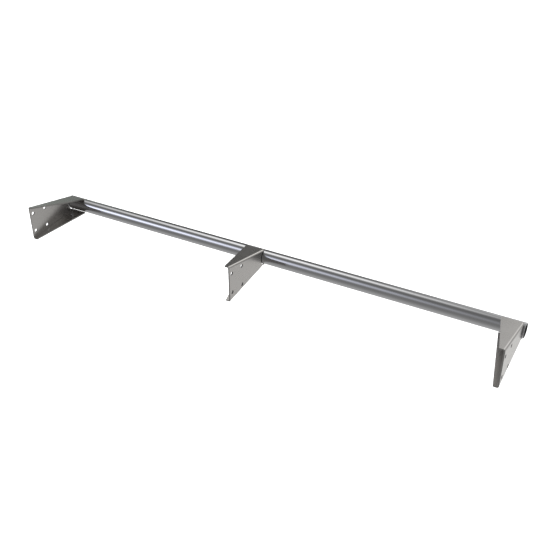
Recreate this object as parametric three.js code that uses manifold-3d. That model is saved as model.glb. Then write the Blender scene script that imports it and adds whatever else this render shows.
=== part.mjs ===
// Two-bay pull-up bar: one round steel tube carried by three folded sheet-steel brackets.
// Every bracket is a tapered channel, the same above and below. The tube lies between its two
// flanges, in a round notch in its web, and is welded to the flange ends on the user's side.
// Bolts through the web hold it to an upright.
//
// Millimetres, +Z up, +X along the tube, +Y from the wall towards the person using the bar.
// Origin: on the middle bracket's bolting face, at the centre of its four bolt holes.

import * as THREE from 'three';
import { mergeVertices } from 'three/addons/utils/BufferGeometryUtils.js';
import Module from 'manifold-3d';

// Tube
const TUBE_DIAMETER = 42.4;
const TUBE_WALL = 2;
const TUBE_SIDES = 64;
const BRACKET_PITCH = 760;
const TUBE_OVERHANG = 4.5;

// Bracket sheet and outline, measured from the tube's axis
const SHEET = 4;
const BEND_INSIDE = 1.5;
const BEND_OUTSIDE = BEND_INSIDE + SHEET;
const FIT_GAP = 0.3;
const WALL_END_Y = -187.5;
const WALL_END_HEIGHT = 112.5;
const TUBE_END_Y = -7;
const TUBE_END_HEIGHT = 51.5;
const FLANGE_WIDTH_AT_WALL = 15;
const FLANGE_WIDTH_AT_TUBE = 60;
const NOTCH_RADIUS = 23.5;

// Bolt holes, on a rectangle level with the tube
const HOLE_DIAMETER = 10.5;
const HOLE_SIDES = 24;
const HOLES_CENTRE_Y = -150.5;
const HOLE_PITCH_Y = 50;
const HOLE_PITCH_Z = 60;

// Weld fillets between the flange ends and the tube: a long one above, a tack below at the web
const WELD_BULGE = 0.7;
const TOP_WELD = { start: 2, length: 56, reach: 7.5 };
const LOWER_WELD = { start: 0.5, length: 4, reach: 4.5 };

// End plugs
const PLUG_RECESS = 0.1;
const PLUG_FACE = 2;
const PLUG_RIM = 4;
const PLUG_RIM_ROUND = 0.8;
const PLUG_DEPTH = 20;
const PLUG_WALL = 1.8;
const PLUG_BODY_RADIUS = TUBE_DIAMETER / 2 - TUBE_WALL - 1.1;
const PLUG_FIN_RADIUS = TUBE_DIAMETER / 2 - TUBE_WALL - FIT_GAP;
const PLUG_FINS = [8, 14];
const PLUG_FIN_THICKNESS = 1.4;
const PLUG_SIDES = 40;

const TUBE_RADIUS = TUBE_DIAMETER / 2;
const BRACKET_LENGTH = TUBE_END_Y - WALL_END_Y;
const TAPER = Math.atan2((WALL_END_HEIGHT - TUBE_END_HEIGHT) / 2, BRACKET_LENGTH);
const TRIM = 40;

const steelTube = new THREE.MeshStandardMaterial({ color: 0xb9bac0, roughness: 0.28, metalness: 1 });
const steelSheet = new THREE.MeshStandardMaterial({ color: 0xa9a7a2, roughness: 0.42, metalness: 1 });
const weldMetal = new THREE.MeshStandardMaterial({ color: 0x8f8a82, roughness: 0.5, metalness: 1 });
const blackPlastic = new THREE.MeshStandardMaterial({ color: 0x1b1b1a, roughness: 0.55, metalness: 0 });

const wasm = await Module();
wasm.setup();

// A closed geometry as a manifold solid, with its shared corners merged.
function toSolid(geometry) {
  const bare = geometry.clone();
  bare.deleteAttribute('normal');
  bare.deleteAttribute('uv');
  const merged = mergeVertices(bare, 1e-4);
  return new wasm.Manifold(new wasm.Mesh({
    numProp: 3,
    vertProperties: new Float32Array(merged.attributes.position.array),
    triVerts: new Uint32Array(merged.index.array),
  }));
}

function toGeometry(solid) {
  const mesh = solid.getMesh();
  const geometry = new THREE.BufferGeometry();
  geometry.setAttribute('position', new THREE.BufferAttribute(mesh.vertProperties, 3));
  geometry.setIndex(new THREE.BufferAttribute(mesh.triVerts, 1));
  geometry.computeVertexNormals();
  return geometry;
}

// The same geometry scaled by x, y and z, one of them -1, with its faces still pointing out.
function mirror(geometry, x, y, z) {
  const mirrored = geometry.clone();
  mirrored.scale(x, y, z);
  const index = mirrored.index.array;
  for (let i = 0; i < index.length; i += 3) {
    [index[i], index[i + 1]] = [index[i + 1], index[i]];
  }
  mirrored.computeVertexNormals();
  return mirrored;
}

function extrude(shape, depth, curveSegments = 8) {
  return new THREE.ExtrudeGeometry(shape, { depth, curveSegments, bevelEnabled: false });
}

// A shape drawn in (Y, Z) and extruded along +X.
function extrudeAlongX(shape, fromX, length, curveSegments) {
  const geometry = extrude(shape, length, curveSegments);
  const turn = new THREE.Matrix4().makeBasis(
    new THREE.Vector3(0, 1, 0),
    new THREE.Vector3(0, 0, 1),
    new THREE.Vector3(1, 0, 0),
  );
  return geometry.applyMatrix4(turn).translate(fromX, 0, 0);
}

function cylinderAlongX(radius, fromX, length, sides) {
  const geometry = new THREE.CylinderGeometry(radius, radius, length, sides);
  return geometry.rotateZ(-Math.PI / 2).translate(fromX + length / 2, 0, 0);
}

// The sheet's section across the upper bend: a web leg that hangs down from the outer corner at
// (0, 0), and a flange that runs out from it.
function bendSection() {
  const leg = -BEND_OUTSIDE - SHEET;
  const shape = new THREE.Shape();
  shape.moveTo(0, leg);
  shape.lineTo(0, -BEND_OUTSIDE);
  shape.absarc(BEND_OUTSIDE, -BEND_OUTSIDE, BEND_OUTSIDE, Math.PI, Math.PI / 2, true);
  shape.lineTo(FLANGE_WIDTH_AT_TUBE + TRIM, 0);
  shape.lineTo(FLANGE_WIDTH_AT_TUBE + TRIM, -SHEET);
  shape.lineTo(BEND_OUTSIDE, -SHEET);
  shape.absarc(BEND_OUTSIDE, -BEND_OUTSIDE, BEND_INSIDE, Math.PI / 2, Math.PI, false);
  shape.lineTo(SHEET, leg);
  shape.closePath();
  return shape;
}

// The upper bend and its flange, which falls from the wall end to the tube.
function upperFlange() {
  const length = BRACKET_LENGTH / Math.cos(TAPER) + 2 * TRIM;
  const turn = new THREE.Matrix4().makeBasis(
    new THREE.Vector3(1, 0, 0),
    new THREE.Vector3(0, Math.sin(TAPER), Math.cos(TAPER)),
    new THREE.Vector3(0, -Math.cos(TAPER), Math.sin(TAPER)),
  );
  const startY = TUBE_END_Y + TRIM * Math.cos(TAPER);
  const startZ = TUBE_END_HEIGHT / 2 - TRIM * Math.sin(TAPER);
  const flange = extrude(bendSection(), length).applyMatrix4(turn).translate(0, startY, startZ);
  return toSolid(flange);
}

// The flat of the web between the two bends.
function webPlate() {
  const inset = BEND_OUTSIDE / Math.cos(TAPER);
  const wallTop = WALL_END_HEIGHT / 2 - inset;
  const tubeTop = TUBE_END_HEIGHT / 2 - inset;
  const shape = new THREE.Shape();
  shape.moveTo(WALL_END_Y, -wallTop);
  shape.lineTo(TUBE_END_Y, -tubeTop);
  shape.lineTo(TUBE_END_Y, tubeTop);
  shape.lineTo(WALL_END_Y, wallTop);
  shape.closePath();
  return toSolid(extrudeAlongX(shape, 0, SHEET));
}

// The plan outline that both flanges are cut to: narrow at the wall, wide over the tube.
function planTrim() {
  const shape = new THREE.Shape();
  shape.moveTo(-TRIM, WALL_END_Y);
  shape.lineTo(FLANGE_WIDTH_AT_WALL, WALL_END_Y);
  shape.lineTo(FLANGE_WIDTH_AT_TUBE, TUBE_END_Y);
  shape.lineTo(-TRIM, TUBE_END_Y);
  shape.closePath();
  return toSolid(extrude(shape, 4 * WALL_END_HEIGHT).translate(0, 0, -2 * WALL_END_HEIGHT));
}

function boltHole(y, z) {
  const cutter = cylinderAlongX(HOLE_DIAMETER / 2, -SHEET, 3 * SHEET, HOLE_SIDES);
  return toSolid(cutter.translate(0, y, z));
}

// One folded bracket with its bolting face on X = 0 and its channel open towards +X.
function bracketGeometry() {
  const upper = upperFlange();
  let bracket = webPlate()
    .add(upper)
    .add(upper.mirror([0, 0, 1]))
    .intersect(planTrim())
    .subtract(toSolid(cylinderAlongX(NOTCH_RADIUS, -SHEET, 4 * SHEET, TUBE_SIDES)));
  for (const alongY of [-1, 1]) {
    for (const alongZ of [-1, 1]) {
      const y = HOLES_CENTRE_Y + alongY * HOLE_PITCH_Y / 2;
      bracket = bracket.subtract(boltHole(y, alongZ * HOLE_PITCH_Z / 2));
    }
  }
  return toGeometry(bracket);
}

// A fillet of weld metal between the upper flange's cut end and the tube, on the user's side.
function weldGeometry({ start, length, reach }) {
  const tubeClear = TUBE_RADIUS + FIT_GAP;
  const startY = TUBE_END_Y + FIT_GAP;
  const edgeZ = TUBE_END_HEIGHT / 2 - FIT_GAP;
  const toeY = TUBE_END_Y + reach;
  const toeZ = Math.sqrt(tubeClear ** 2 - toeY ** 2);
  const crownY = (startY + toeY) / 2 + WELD_BULGE;
  const crownZ = (edgeZ + toeZ) / 2 + WELD_BULGE;
  const shape = new THREE.Shape();
  shape.moveTo(startY, edgeZ);
  shape.quadraticCurveTo(crownY, crownZ, toeY, toeZ);
  const rootAngle = Math.atan2(Math.sqrt(tubeClear ** 2 - startY ** 2), startY);
  shape.absarc(0, 0, tubeClear, Math.atan2(toeZ, toeY), rootAngle, false);
  shape.closePath();
  return toGeometry(toSolid(extrudeAlongX(shape, start, length, 5)));
}

function tubeGeometry() {
  const halfLength = BRACKET_PITCH + TUBE_OVERHANG;
  const profile = [
    [TUBE_RADIUS - TUBE_WALL, -halfLength],
    [TUBE_RADIUS, -halfLength],
    [TUBE_RADIUS, halfLength],
    [TUBE_RADIUS - TUBE_WALL, halfLength],
    [TUBE_RADIUS - TUBE_WALL, -halfLength],
  ].map(([r, x]) => new THREE.Vector2(r, x));
  return new THREE.LatheGeometry(profile, TUBE_SIDES).rotateZ(-Math.PI / 2);
}

// A push-in plug: a face set just inside the tube's end and a finned cup that grips its bore.
// The profile runs along +Y before it is laid along +X, with the tube's end at 0.
function plugGeometry() {
  const face = -PLUG_RECESS;
  const cupRadius = PLUG_BODY_RADIUS - PLUG_WALL;
  const shape = new THREE.Path();
  shape.moveTo(0, face);
  shape.lineTo(0, face - PLUG_FACE);
  shape.lineTo(cupRadius, face - PLUG_FACE);
  shape.lineTo(cupRadius, -PLUG_DEPTH);
  shape.lineTo(PLUG_BODY_RADIUS, -PLUG_DEPTH);
  for (const depth of [...PLUG_FINS].reverse()) {
    shape.lineTo(PLUG_BODY_RADIUS, -depth - PLUG_FIN_THICKNESS);
    shape.lineTo(PLUG_FIN_RADIUS, -depth);
    shape.lineTo(PLUG_BODY_RADIUS, -depth);
  }
  shape.lineTo(PLUG_BODY_RADIUS, face - PLUG_RIM);
  shape.lineTo(PLUG_FIN_RADIUS, face - PLUG_RIM);
  shape.lineTo(PLUG_FIN_RADIUS, face - PLUG_RIM_ROUND);
  const round = PLUG_RIM_ROUND;
  shape.absarc(PLUG_FIN_RADIUS - round, face - round, round, 0, Math.PI / 2, false);
  shape.lineTo(0, face);
  return new THREE.LatheGeometry(shape.getPoints(3), PLUG_SIDES).rotateZ(-Math.PI / 2);
}

function part(name, geometry, material, x = 0) {
  const mesh = new THREE.Mesh(geometry, material);
  mesh.name = name;
  mesh.position.x = x;
  return mesh;
}

const bar = new THREE.Group();
bar.position.y = -HOLES_CENTRE_Y;
bar.add(part('bar_tube', tubeGeometry(), steelTube));

const opensRight = bracketGeometry();
const topWeld = weldGeometry(TOP_WELD);
const lowerWeld = mirror(weldGeometry(LOWER_WELD), 1, 1, -1);
const places = [
  { side: 'left', x: -BRACKET_PITCH, opensLeft: false },
  { side: 'middle', x: 0, opensLeft: true },
  { side: 'right', x: BRACKET_PITCH, opensLeft: true },
];
for (const { side, x, opensLeft } of places) {
  const facing = (geometry) => (opensLeft ? mirror(geometry, -1, 1, 1) : geometry);
  bar.add(part(`${side}_bracket`, facing(opensRight), steelSheet, x));
  bar.add(part(`${side}_top_weld`, facing(topWeld), weldMetal, x));
  bar.add(part(`${side}_lower_weld`, facing(lowerWeld), weldMetal, x));
}

const plug = plugGeometry();
const tubeEnd = BRACKET_PITCH + TUBE_OVERHANG;
bar.add(part('right_end_plug', plug, blackPlastic, tubeEnd));
const leftPlug = part('left_end_plug', plug, blackPlastic, -tubeEnd);
leftPlug.rotation.z = Math.PI;
bar.add(leftPlug);

const pullUpBar = new THREE.Group();
pullUpBar.add(bar);

export default pullUpBar;
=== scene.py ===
# Two-bay pull-up bar for wall bars: one satin stainless tube lying in three folded sheet
# brackets, welded to them along the flange ends, with a black plug in each end of the tube.

import math

import bmesh
import bpy
from mathutils import Matrix, Vector


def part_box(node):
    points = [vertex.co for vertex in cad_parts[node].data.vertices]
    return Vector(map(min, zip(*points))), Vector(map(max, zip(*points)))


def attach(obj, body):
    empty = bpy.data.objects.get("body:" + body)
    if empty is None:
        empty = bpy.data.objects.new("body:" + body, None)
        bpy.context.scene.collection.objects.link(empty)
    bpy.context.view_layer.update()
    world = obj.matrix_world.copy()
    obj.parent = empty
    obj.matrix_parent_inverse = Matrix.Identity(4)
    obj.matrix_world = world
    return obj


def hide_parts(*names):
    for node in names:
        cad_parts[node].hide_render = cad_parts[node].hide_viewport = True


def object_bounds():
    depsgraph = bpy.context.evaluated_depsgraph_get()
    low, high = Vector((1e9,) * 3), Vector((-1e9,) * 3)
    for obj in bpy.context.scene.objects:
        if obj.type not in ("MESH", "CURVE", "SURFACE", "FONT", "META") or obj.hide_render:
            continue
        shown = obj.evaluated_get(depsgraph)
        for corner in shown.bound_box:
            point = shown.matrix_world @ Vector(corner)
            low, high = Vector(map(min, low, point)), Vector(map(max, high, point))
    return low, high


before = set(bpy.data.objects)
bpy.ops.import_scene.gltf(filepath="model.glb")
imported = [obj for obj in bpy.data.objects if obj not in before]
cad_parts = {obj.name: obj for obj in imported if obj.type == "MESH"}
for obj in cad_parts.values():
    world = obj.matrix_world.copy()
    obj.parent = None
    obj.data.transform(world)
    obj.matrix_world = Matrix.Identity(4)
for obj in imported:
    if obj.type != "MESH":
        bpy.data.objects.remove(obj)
cad_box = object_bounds()


# ---- Camera ------------------------------------------------------------------------------
# It stands on the wall side of the bar, above it and to the right, with a normal lens. It
# aims at a point near the middle bracket.
tube_low, tube_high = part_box("bar_tube")
tube_axis = (tube_low + tube_high) / 2
tube_radius = (tube_high.z - tube_low.z) / 2

camera_azimuth = math.radians(30.36)
camera_elevation = math.radians(30.55)
camera_aim = tube_axis + Vector((0.0508, 0, -0.0649))
camera_distance = 2.2665
camera_lens = 49.3
camera_film = 36
camera_reach = 500

towards_camera = Vector((
    math.sin(camera_azimuth) * math.cos(camera_elevation),
    -math.cos(camera_azimuth) * math.cos(camera_elevation),
    math.sin(camera_elevation),
))
camera = bpy.data.objects.new("camera", bpy.data.cameras.new("camera"))
bpy.context.scene.collection.objects.link(camera)
camera.location = camera_aim + camera_distance * towards_camera
camera.rotation_euler = (-towards_camera).to_track_quat("-Z", "Y").to_euler()
camera.data.lens = camera_lens
camera.data.sensor_width = camera_film
camera.data.clip_end = camera_reach
bpy.context.scene.camera = camera
bpy.context.scene.view_settings.view_transform = "Standard"


# ---- Room --------------------------------------------------------------------------------
# A pale floor, as far below the bar as a gym floor is, under a dim room. The metal mirrors the
# room, so its look comes from six soft strips of light that lie parallel to the bar and a dark
# screen. The floor glows a little underneath, and a cool window is on the wall side.
floor_drop = 2.2
floor_reach = 120
floor_colour = (0.9, 0.9, 0.9, 1)
floor_speckle = (0.93, 0.93, 0.93, 1)
wall_glow = 0.134
user_side_dimming = 0.097
floor_glow = 0.339
darkest = 0.02
warmth = 0.99
window_tint = (0.92, 0.96, 1.12)
left_side_tint = (0.92, 1.04, 0.97)
just_over_one = 1.0001
ceiling_energy = 5
ceiling_spread = 120


class Reading:
    """One output of a node tree. Arithmetic on it adds Math nodes."""

    def __init__(self, recipe, socket):
        self.recipe = recipe
        self.socket = socket

    def maths(self, operation, *values):
        return self.recipe.node("ShaderNodeMath", {"operation": operation}, dict(enumerate(values)))

    def __add__(self, other):
        return self.maths("ADD", self, other)

    __radd__ = __add__

    def __sub__(self, other):
        return self.maths("SUBTRACT", self, other)

    def __rsub__(self, other):
        return self.maths("SUBTRACT", other, self)

    def __mul__(self, other):
        return self.maths("MULTIPLY", self, other)

    __rmul__ = __mul__

    def __truediv__(self, other):
        return self.maths("DIVIDE", self, other)

    def __pow__(self, other):
        return self.maths("POWER", self, other)

    def __rpow__(self, other):
        return self.maths("POWER", other, self)

    def __neg__(self):
        return self.maths("MULTIPLY", self, -1)


class Recipe:
    """The node tree of a finish or of the room, with one method that adds any node."""

    def __init__(self, tree):
        self.tree = tree
        tree.nodes.clear()

    def node(self, kind, settings=None, sockets=None, output=0):
        made = self.tree.nodes.new(kind)
        for name, value in (settings or {}).items():
            if name == "stops":
                ramp = made.color_ramp
                while len(ramp.elements) < len(value):
                    ramp.elements.new(1)
                for element, (place, colour) in zip(ramp.elements, value):
                    element.position = place
                    element.color = colour
            else:
                setattr(made, name, value)
        for name, value in (sockets or {}).items():
            if isinstance(value, Reading):
                self.tree.links.new(value.socket, made.inputs[name])
            else:
                made.inputs[name].default_value = value
        return Reading(self, made.outputs[output]) if made.outputs else None

    def also(self, reading, output):
        """Another output of the node that a reading comes from."""
        return Reading(self, reading.socket.node.outputs[output])

    def split(self, vector):
        first = self.node("ShaderNodeSeparateXYZ", None, {0: vector})
        return first, self.also(first, 1), self.also(first, 2)

    def blend(self, amount, colour_a, colour_b):
        """Colour a where amount is 0 and colour b where it is 1."""
        return self.node(
            "ShaderNodeMix",
            {"data_type": "RGBA"},
            {0: amount, 6: colour_a, 7: colour_b},
            output=2,
        )


def strip_light(turn, half_turn, along, half_along, strength):
    """A soft strip of light parallel to the bar, at a turn about +X in degrees: 0 is the
    user's side, 90 overhead and 180 the wall side. It lies at a place along +X, from -1 to 1,
    and has half its strength at each half size."""
    turn, half_turn = math.radians(turn), math.radians(half_turn)
    facing = (towards_user * math.cos(turn) + upwards * math.sin(turn)) / off_axis
    sideways = (along_bar - along) / half_along
    return strength * 0.5 ** ((1 - facing) / (1 - math.cos(half_turn)) + sideways * sideways)


world = bpy.data.worlds.new("room")
bpy.context.scene.world = world
world.use_nodes = True
room = Recipe(world.node_tree)
direction = room.node("ShaderNodeTexCoord", None, None)
along_bar, towards_user, upwards = room.split(direction)
off_axis = (just_over_one - along_bar * along_bar) ** 0.5
below = upwards.maths("MAXIMUM", -upwards, 0) / off_axis
base = wall_glow - user_side_dimming * towards_user + floor_glow * below * below
user_side = strip_light(turn=27.9, half_turn=18.9, along=0.138, half_along=0.267, strength=1.58)
low_user_side = strip_light(turn=-34.4, half_turn=26.8, along=-0.01, half_along=0.48, strength=0.85)
left_side = strip_light(turn=24.6, half_turn=12.1, along=-0.82, half_along=0.117, strength=1.05)
overhead = strip_light(turn=71.9, half_turn=15.4, along=-0.45, half_along=0.207, strength=1.42)
window = strip_light(turn=148.9, half_turn=13, along=-0.72, half_along=0.265, strength=1.88)
right_side = strip_light(turn=14, half_turn=46, along=0.73, half_along=0.2, strength=0.44)
dark_screen = strip_light(turn=27.8, half_turn=7.7, along=0.9, half_along=0.73, strength=-0.28)
plain = base + user_side + low_user_side + overhead + right_side + dark_screen
neutral = plain.maths("MAXIMUM", plain, darkest)
red = neutral + window_tint[0] * window + left_side_tint[0] * left_side
green = neutral + window_tint[1] * window + left_side_tint[1] * left_side
blue = neutral * warmth + window_tint[2] * window + left_side_tint[2] * left_side
light = room.node("ShaderNodeCombineXYZ", None, {0: red, 1: green, 2: blue})
seen = room.node("ShaderNodeLightPath", None, None)
lit = room.node("ShaderNodeBackground", None, {0: light, 1: 1.0})
blank = room.node("ShaderNodeBackground", None, {0: (1, 1, 1, 1), 1: 1.0})
shown = room.node("ShaderNodeMixShader", None, {0: seen, 1: lit, 2: blank})
room.node("ShaderNodeOutputWorld", None, {"Surface": shown})


def finish(name):
    """A new finish: its material, its recipe, and its shader, linked to the output."""
    material = bpy.data.materials.new(name)
    material.use_nodes = True
    recipe = Recipe(material.node_tree)
    shader = recipe.node("ShaderNodeBsdfPrincipled")
    recipe.node("ShaderNodeOutputMaterial", None, {"Surface": shader})
    return material, recipe, shader.socket.node


def feed(shader, **sockets):
    """Set or link a shader's sockets, named with _ for a space."""
    for name, value in sockets.items():
        socket = shader.inputs[name.replace("_", " ")]
        if isinstance(value, Reading):
            value.recipe.tree.links.new(value.socket, socket)
        else:
            socket.default_value = value


def mesh_piece(name, shape):
    """A named object of a bmesh, at the frame's origin."""
    bmesh.ops.recalc_face_normals(shape, faces=shape.faces)
    mesh = bpy.data.meshes.new(name)
    shape.to_mesh(mesh)
    shape.free()
    piece = bpy.data.objects.new(name, mesh)
    bpy.context.scene.collection.objects.link(piece)
    return piece


floor_finish, recipe, shader = finish("pale_floor")
speckle = recipe.node("ShaderNodeTexNoise", None, {"Scale": 30.0, "Detail": 3.0})
shade = recipe.blend(speckle, floor_colour, floor_speckle)
feed(shader, Base_Color=shade, Roughness=0.9, Specular_IOR_Level=0.0)
shape = bmesh.new()
bmesh.ops.create_grid(shape, x_segments=1, y_segments=1, size=floor_reach)
floor = mesh_piece("floor", shape)
floor.location.z = cad_box[0].z - floor_drop
floor.data.materials.append(floor_finish)
floor.visible_glossy = False

ceiling_light = bpy.data.lights.new("ceiling_light", "SUN")
ceiling_light.energy = ceiling_energy
ceiling_light.angle = math.radians(ceiling_spread)
ceiling = bpy.data.objects.new("ceiling_light", ceiling_light)
bpy.context.scene.collection.objects.link(ceiling)
ceiling.visible_glossy = False


# ---- Tube --------------------------------------------------------------------------------
# One length of 42.4 mm stainless tube with a 2 mm wall, ground and polished all round, so it
# has fine scratches that run round it. Its cut ends are deburred.
tube_wall = 0.002
turning_steps = 160
tube_edge = 0.00025


def turned(name, outline, middle, steps=turning_steps):
    """A closed outline of (place along X, radius) points turned about a line along X."""
    shape = bmesh.new()
    blank = shape.loops.layers.uv.new("blank")
    rings = []
    for along, radius in outline:
        turns = [2 * math.pi * step / steps for step in range(steps)]
        rings.append([
            shape.verts.new(middle + Vector((along, -radius * math.cos(t), radius * math.sin(t))))
            for t in turns
        ])
    walked = 0
    for index, ring in enumerate(rings):
        following = rings[(index + 1) % len(rings)]
        (x0, r0), (x1, r1) = outline[index], outline[(index + 1) % len(outline)]
        length = math.hypot(x1 - x0, r1 - r0)
        for step in range(steps):
            ahead = (step + 1) % steps
            face = shape.faces.new((ring[step], ring[ahead], following[ahead], following[step]))
            round_by = [2 * math.pi * tube_radius * (step + k) / steps for k in (0, 1, 1, 0)]
            along_by = (walked, walked, walked + length, walked + length)
            for loop, u, v in zip(face.loops, along_by, round_by):
                loop[blank].uv = (u, v)
        walked += length
    return mesh_piece(name, shape)


def soften(piece, width, segments=2, angle=40):
    """Round the sharp edges, as deburring does, and smooth the shading of the rest."""
    bevel = piece.modifiers.new("deburr", "BEVEL")
    bevel.width = width
    bevel.segments = segments
    bevel.limit_method = "ANGLE"
    bevel.angle_limit = math.radians(angle)
    bevel.harden_normals = True
    bevel.miter_outer = "MITER_ARC"
    settle(piece)


def settle(piece):
    """Apply a piece's modifiers to its mesh."""
    bpy.context.view_layer.update()
    depsgraph = bpy.context.evaluated_depsgraph_get()
    made = bpy.data.meshes.new_from_object(piece.evaluated_get(depsgraph))
    piece.modifiers.clear()
    piece.data = made


def join_frame(piece, node):
    """The piece stands for a CAD node, which it hides, and moves with the one body."""
    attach(piece, "root")
    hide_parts(node)


tube_finish, recipe, shader = finish("polished_tube")
blank_map = recipe.node("ShaderNodeUVMap", {"uv_map": "blank"})
round_scratch = recipe.node(
    "ShaderNodeVectorMath", {"operation": "MULTIPLY"}, {0: blank_map, 1: (9000, 60, 1)}
)
scratch = recipe.node("ShaderNodeTexNoise", None, {"Vector": round_scratch, "Scale": 1.0})
place = recipe.node("ShaderNodeTexCoord", None, None, output=3)
smudge = recipe.node("ShaderNodeTexNoise", None, {"Vector": place, "Scale": 14.0, "Detail": 4.0})
colour = recipe.blend(smudge, (0.60, 0.60, 0.615, 1), (0.66, 0.66, 0.675, 1))
bump = recipe.node(
    "ShaderNodeBump", None, {"Strength": 0.05, "Distance": 0.0001, "Height": scratch}
)
feed(
    shader,
    Base_Color=colour,
    Metallic=1.0,
    Roughness=0.07 + 0.05 * smudge + 0.03 * scratch,
    Normal=bump,
)

half_length = (tube_high.x - tube_low.x) / 2
bore = tube_radius - tube_wall
tube = turned(
    "tube",
    [
        (-half_length, bore),
        (-half_length, tube_radius),
        (half_length, tube_radius),
        (half_length, bore),
    ],
    tube_axis,
)
tube.data.materials.append(tube_finish)
soften(tube, tube_edge, 3)
join_frame(tube, "bar_tube")


# ---- Brackets ----------------------------------------------------------------------------
# Each is one blank of 4 mm stainless sheet, laser cut with four bolt holes and a round notch
# for the tube, then folded twice into a channel. The flanges are narrow at the wall end and
# wide over the tube. The left bracket opens to the right and the other two to the left.
sheet = 0.004
bend_inside = 0.0015
bend_outside = bend_inside + sheet
flange_at_wall = 0.015
tube_end_half_height = 0.02575
notch_radius = 0.0235
hole_radius = 0.00525
hole_pitch_y = 0.050
hole_pitch_z = 0.060
bend_steps = 14
hole_steps = 48
notch_steps = 192
rod_length = 6 * sheet
sheet_edge = 0.00035
brackets = {"left": {"opens": 1}, "middle": {"opens": -1}, "right": {"opens": -1}}
for side, bracket in brackets.items():
    low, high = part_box(side + "_bracket")
    bracket.update(low=low, high=high, face=low.x if bracket["opens"] > 0 else high.x)


def fold_section(bracket, share):
    """Outer and inner (X, Z) points across the folded sheet, from the upper flange's tip to the
    lower one's, at a share of the way from the wall end to the tube."""
    low, high = bracket["low"], bracket["high"]
    width = flange_at_wall + (high.x - low.x - flange_at_wall) * share
    half_height = high.z + (tube_end_half_height - high.z) * share
    taper = math.atan2(high.z - tube_end_half_height, high.y - low.y)
    stretch = 1 / math.cos(taper)
    centre = half_height - bend_outside * stretch
    rows = []
    for radius in (bend_outside, bend_inside):
        upper = [(width, centre + radius * stretch)]
        for step in range(bend_steps + 1):
            angle = math.pi / 2 * (1 + step / bend_steps)
            x = bend_outside + radius * math.cos(angle)
            upper.append((x, centre + radius * stretch * math.sin(angle)))
        row = upper + [(x, -z) for x, z in reversed(upper)]
        rows.append([(bracket["face"] + bracket["opens"] * x, z) for x, z in row])
    return rows


def folded_channel(name, bracket):
    """The folded blank. Its cut edges take the piece's second finish. The fold map is 1 in the
    middle of each bend's inside and 0 elsewhere, and marks where shade is painted into the bends."""
    shape = bmesh.new()
    blank = shape.loops.layers.uv.new("blank")
    fold = shape.loops.layers.uv.new("fold")
    bend = [0] + [math.sin(math.pi * step / bend_steps) ** 3 for step in range(bend_steps + 1)]
    in_fold = bend + bend[::-1]
    stations = []
    for share in (0, 1):
        y = bracket["low"].y + (bracket["high"].y - bracket["low"].y) * share
        rows = fold_section(bracket, share)
        across = [0.0]
        for (x0, z0), (x1, z1) in zip(rows[0], rows[0][1:]):
            across.append(across[-1] + math.hypot(x1 - x0, z1 - z0))
        stations.append([
            [
                (shape.verts.new((x, y, z)), (a - across[-1] / 2, y), (inner * amount, 0))
                for (x, z), a, amount in zip(row, across, in_fold)
            ]
            for inner, row in enumerate(rows)
        ])

    def face(corners, finish_index):
        made = shape.faces.new([vert for vert, _, _ in corners])
        made.material_index = finish_index
        for loop, (_, place, amount) in zip(made.loops, corners):
            loop[blank].uv = place
            loop[fold].uv = amount

    (wall_outer, wall_inner), (tube_outer, tube_inner) = stations
    for i in range(len(wall_outer) - 1):
        j = i + 1
        face((wall_outer[i], wall_outer[j], tube_outer[j], tube_outer[i]), 0)
        face((wall_inner[j], wall_inner[i], tube_inner[i], tube_inner[j]), 0)
        face((wall_outer[j], wall_outer[i], wall_inner[i], wall_inner[j]), 1)
        face((tube_outer[i], tube_outer[j], tube_inner[j], tube_inner[i]), 1)
    face((wall_outer[0], tube_outer[0], tube_inner[0], wall_inner[0]), 1)
    face((tube_outer[-1], wall_outer[-1], wall_inner[-1], tube_inner[-1]), 1)
    return mesh_piece(name, shape)


def add_rod(shape, middle, radius, steps):
    """A rod along X that goes right through a web."""
    turn = Matrix.Translation(middle) @ Matrix.Rotation(math.pi / 2, 4, "Y")
    sizes = {"radius1": radius, "radius2": radius, "depth": rod_length}
    bmesh.ops.create_cone(shape, cap_ends=True, segments=steps, matrix=turn, **sizes)


def cut_rods(piece, bracket):
    """Cut a bracket's four bolt holes and its notch, whose walls take its third finish, painted dark
    as shade in the holes.
    """
    shape = bmesh.new()
    for across in (-1, 1):
        for up in (-1, 1):
            hole = (bracket["face"], across * hole_pitch_y / 2, up * hole_pitch_z / 2)
            add_rod(shape, Vector(hole), hole_radius, hole_steps)
    notch = (bracket["face"], tube_axis.y, tube_axis.z)
    add_rod(shape, Vector(notch), notch_radius, notch_steps)
    for face in shape.faces:
        face.material_index = 2
    cutter = mesh_piece("cutter", shape)
    for material in bracket_finishes:
        cutter.data.materials.append(material)
    cut = piece.modifiers.new("cut", "BOOLEAN")
    cut.operation = "DIFFERENCE"
    cut.solver = "EXACT"
    cut.object = cutter
    settle(piece)
    bpy.data.objects.remove(cutter)


sheet_finish, recipe, shader = finish("brushed_sheet")
blank_map = recipe.node("ShaderNodeUVMap", {"uv_map": "blank"})
along_grain = recipe.node(
    "ShaderNodeVectorMath", {"operation": "MULTIPLY"}, {0: blank_map, 1: (5200, 45, 1)}
)
grain = recipe.node("ShaderNodeTexNoise", None, {"Vector": along_grain, "Scale": 1.0, "Detail": 3.0})
place = recipe.node("ShaderNodeTexCoord", None, None, output=3)
cloud = recipe.node("ShaderNodeTexNoise", None, {"Vector": place, "Scale": 22.0, "Detail": 4.0})
brushed = recipe.blend(cloud, (0.525, 0.509, 0.493, 1), (0.585, 0.569, 0.553, 1))
# Painted shade: the inside of each bend is blended towards a dark grey along the fold map.
fold_map = recipe.node("ShaderNodeUVMap", {"uv_map": "fold"})
painted_crease_shade, _, _ = recipe.split(fold_map)
colour = recipe.blend(painted_crease_shade, brushed, (0.3, 0.29, 0.28, 1))
bump = recipe.node("ShaderNodeBump", None, {"Strength": 0.12, "Distance": 0.0001, "Height": grain})
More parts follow.
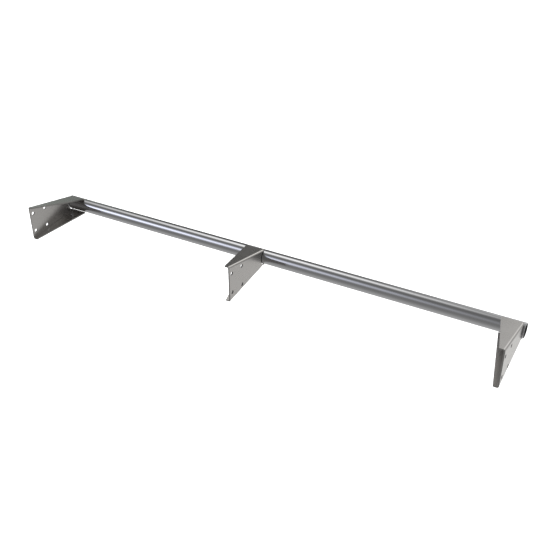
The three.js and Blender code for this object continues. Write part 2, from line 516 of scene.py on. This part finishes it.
feed(
    shader,
    Base_Color=colour,
    Metallic=1.0,
    Roughness=0.2 + 0.08 * cloud + 0.08 * grain,
    Normal=bump,
)


def cut_finish(name, dark, light):
    """The striped face that a laser leaves, between two tones."""
    material, recipe, shader = finish(name)
    place = recipe.node("ShaderNodeTexCoord", None, None, output=3)
    stria = recipe.node("ShaderNodeTexNoise", None, {"Vector": place, "Scale": 900.0, "Detail": 2.0})
    colour = recipe.blend(stria, dark, light)
    bump = recipe.node("ShaderNodeBump", None, {"Strength": 0.2, "Distance": 0.0001, "Height": stria})
    feed(shader, Base_Color=colour, Metallic=1.0, Roughness=0.3 + 0.15 * stria, Normal=bump)
    return material


edge_finish = cut_finish("laser_cut_edge", (0.34, 0.332, 0.32, 1), (0.46, 0.45, 0.434, 1))
# The bolt-hole and notch walls are painted far darker than the outer cut edges: painted shade inside
# the holes and the notch gap.
hole_wall_shade_finish = cut_finish("laser_cut_hole_painted_shade", (0.09, 0.088, 0.085, 1), (0.16, 0.156, 0.151, 1))
bracket_finishes = (sheet_finish, edge_finish, hole_wall_shade_finish)

for side, bracket in brackets.items():
    piece = folded_channel(side + "_folded_bracket", bracket)
    for material in bracket_finishes:
        piece.data.materials.append(material)
    cut_rods(piece, bracket)
    soften(piece, sheet_edge)
    join_frame(piece, side + "_bracket")


# ---- Welds -------------------------------------------------------------------------------
# A fillet of weld metal fills the corner between each upper flange's cut end and the tube, on
# the user's side, and a short tack holds each lower flange at its web. Both were laid in small
# overlapping pools, so their faces are rippled.
weld_bulge = 0.0007
weld_gap = 0.0003
pool_pitch = 0.0015
pool_height = 0.00022
steps_per_pool = 6
weld_sides = 12
root_sides = 5
pool_middle = 0.6
ripple_out = 0.5
ripple_up = 0.8

weld_finish, recipe, shader = finish("weld_metal")
place = recipe.node("ShaderNodeTexCoord", None, None, output=3)
tint = recipe.node("ShaderNodeTexNoise", None, {"Vector": place, "Scale": 160.0, "Detail": 3.0})
tone = recipe.node("ShaderNodeValToRGB", {"stops": [
    (0.35, (0.50, 0.47, 0.42, 1)),
    (0.5, (0.58, 0.53, 0.45, 1)),
    (0.62, (0.46, 0.46, 0.50, 1)),
]}, {"Fac": tint})
feed(shader, Base_Color=tone, Metallic=1.0, Roughness=0.24 + 0.16 * tint)


def weld_section(flange_end, toe, ripple):
    """An upper weld's section as (Y, Z) points from the tube's axis: its face, then its root."""
    clear = tube_radius + weld_gap
    start = flange_end + weld_gap
    edge, toe_z = tube_end_half_height - weld_gap, math.sqrt(clear ** 2 - toe ** 2)
    crown_y, crown_z = (start + toe) / 2 + weld_bulge, (edge + toe_z) / 2 + weld_bulge
    points = []
    for step in range(weld_sides + 1):
        t = step / weld_sides
        lift = ripple * math.sin(math.pi * t)
        y = (1 - t) ** 2 * start + 2 * t * (1 - t) * crown_y + t ** 2 * toe
        z = (1 - t) ** 2 * edge + 2 * t * (1 - t) * crown_z + t ** 2 * toe_z
        points.append((y + lift * ripple_out, z + lift * ripple_up))
    for step in range(root_sides):
        y = toe + (start - toe) * (step + 1) / root_sides
        points.append((y, math.sqrt(clear ** 2 - y ** 2)))
    return points


def weld_bead(name, node, flange_end, flip):
    low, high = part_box(node)
    shape = bmesh.new()
    steps = round((high.x - low.x) / pool_pitch) * steps_per_pool
    rings = []
    for step in range(steps + 1):
        pool = step / steps_per_pool % 1
        ripple = pool_height * (math.sqrt(1 - pool ** 2) - pool_middle)
        x = low.x + (high.x - low.x) * step / steps
        rings.append([
            shape.verts.new((x, tube_axis.y + y, tube_axis.z + flip * z))
            for y, z in weld_section(flange_end, high.y - tube_axis.y, ripple)
        ])
    for ring, following in zip(rings, rings[1:]):
        for i in range(len(ring)):
            j = (i + 1) % len(ring)
            shape.faces.new((ring[i], ring[j], following[j], following[i]))
    shape.faces.new(rings[0])
    shape.faces.new(rings[-1])
    piece = mesh_piece(name, shape)
    piece.data.materials.append(weld_finish)
    piece.data.shade_smooth()
    join_frame(piece, node)


for side, bracket in brackets.items():
    flange_end = bracket["high"].y - tube_axis.y
    weld_bead(side + "_upper_bead", side + "_top_weld", flange_end, 1)
    weld_bead(side + "_lower_bead", side + "_lower_weld", flange_end, -1)


# ---- End plugs ---------------------------------------------------------------------------
# A push-in plug of black polyethylene closes each end of the tube. Its face sits just inside
# the tube's end and its finned cup grips the bore.
plug_recess = 0.0001
plug_face = 0.002
plug_rim = 0.004
plug_round = 0.0008
plug_depth = 0.020
plug_wall = 0.0018
cup_radius = bore - 0.0011
fin_radius = bore - 0.0003
fins = (0.008, 0.014)
fin_thickness = 0.0014
dish_radius = 0.0125
dish_depth = 0.0004
gate_radius = 0.0016
gate_step = 0.0002
plug_core = 0.00005
plug_round_steps = 6
plug_steps = 96
plug_edge = 0.0001

plug_finish, recipe, shader = finish("black_plastic")
place = recipe.node("ShaderNodeTexCoord", None, None, output=3)
spark = recipe.node("ShaderNodeTexNoise", None, {"Vector": place, "Scale": 2600.0, "Detail": 2.0})
haze = recipe.node("ShaderNodeTexNoise", None, {"Vector": place, "Scale": 60.0, "Detail": 4.0})
colour = recipe.blend(haze, (0.012, 0.012, 0.012, 1), (0.022, 0.022, 0.021, 1))
bump = recipe.node("ShaderNodeBump", None, {"Strength": 0.3, "Distance": 0.0001, "Height": spark})
feed(shader, Base_Color=colour, Roughness=0.55 + 0.15 * haze, Specular_IOR_Level=0.0, Normal=bump)


def plug_outline():
    """Points (depth into the tube, radius) round half of a plug, from its outer face's centre
    round to the inside of its cup."""
    points = [(plug_recess + dish_depth / 2, plug_core), (plug_recess + dish_depth / 2, gate_radius)]
    points += [(plug_recess + dish_depth, gate_radius + gate_step)]
    points += [(plug_recess + dish_depth, dish_radius), (plug_recess, dish_radius + dish_depth)]
    for step in range(plug_round_steps + 1):
        angle = math.pi / 2 * step / plug_round_steps
        depth = plug_recess + plug_round * (1 - math.cos(angle))
        points.append((depth, fin_radius - plug_round * (1 - math.sin(angle))))
    points += [(plug_rim, fin_radius), (plug_rim, cup_radius)]
    for depth in fins:
        points += [(depth, cup_radius), (depth, fin_radius), (depth + fin_thickness, cup_radius)]
    points += [(plug_depth, cup_radius), (plug_depth, cup_radius - plug_wall)]
    points += [(plug_face + dish_depth, cup_radius - plug_wall), (plug_face + dish_depth, plug_core)]
    return points


for side, end, inward in (("left", tube_low.x, 1), ("right", tube_high.x, -1)):
    outline = [(inward * depth, radius) for depth, radius in plug_outline()]
    piece = turned(side + "_plug", outline, Vector((end, tube_axis.y, tube_axis.z)), plug_steps)
    piece.data.materials.append(plug_finish)
    soften(piece, plug_edge)
    join_frame(piece, side + "_end_plug")
